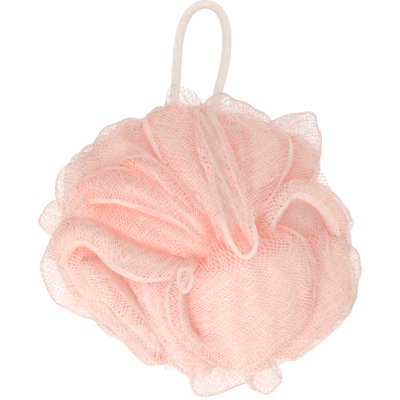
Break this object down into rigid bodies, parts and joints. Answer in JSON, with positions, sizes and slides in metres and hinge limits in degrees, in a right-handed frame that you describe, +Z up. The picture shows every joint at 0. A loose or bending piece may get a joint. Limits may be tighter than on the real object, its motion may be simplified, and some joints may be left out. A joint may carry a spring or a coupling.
{
  "type": "mesh bath pouf",
  "caption": "Round bath pouf of pink tube netting, folded to and fro and drawn in at the middle, with a cream cord loop for hanging.",
  "frame": {"origin": "under the middle of the netting, on the surface that the pouf lies on", "axes": "+Z up, away from that surface, through the gathered waist; +Y towards the hanging loop; +X to the right as seen from above with the loop at the top"},
  "size_m": [0.1329, 0.1662, 0.0912],
  "materials": {
    "netting": "extruded polyethylene netting, soft satin",
    "twine": "twisted polypropylene twine",
    "cord": "braided polypropylene cord"
  },
  "bodies": {
    "root": {"netting": "netting", "waist_tie": "twine", "hanging_loop": "cord"}
  },
  "joints": []
}
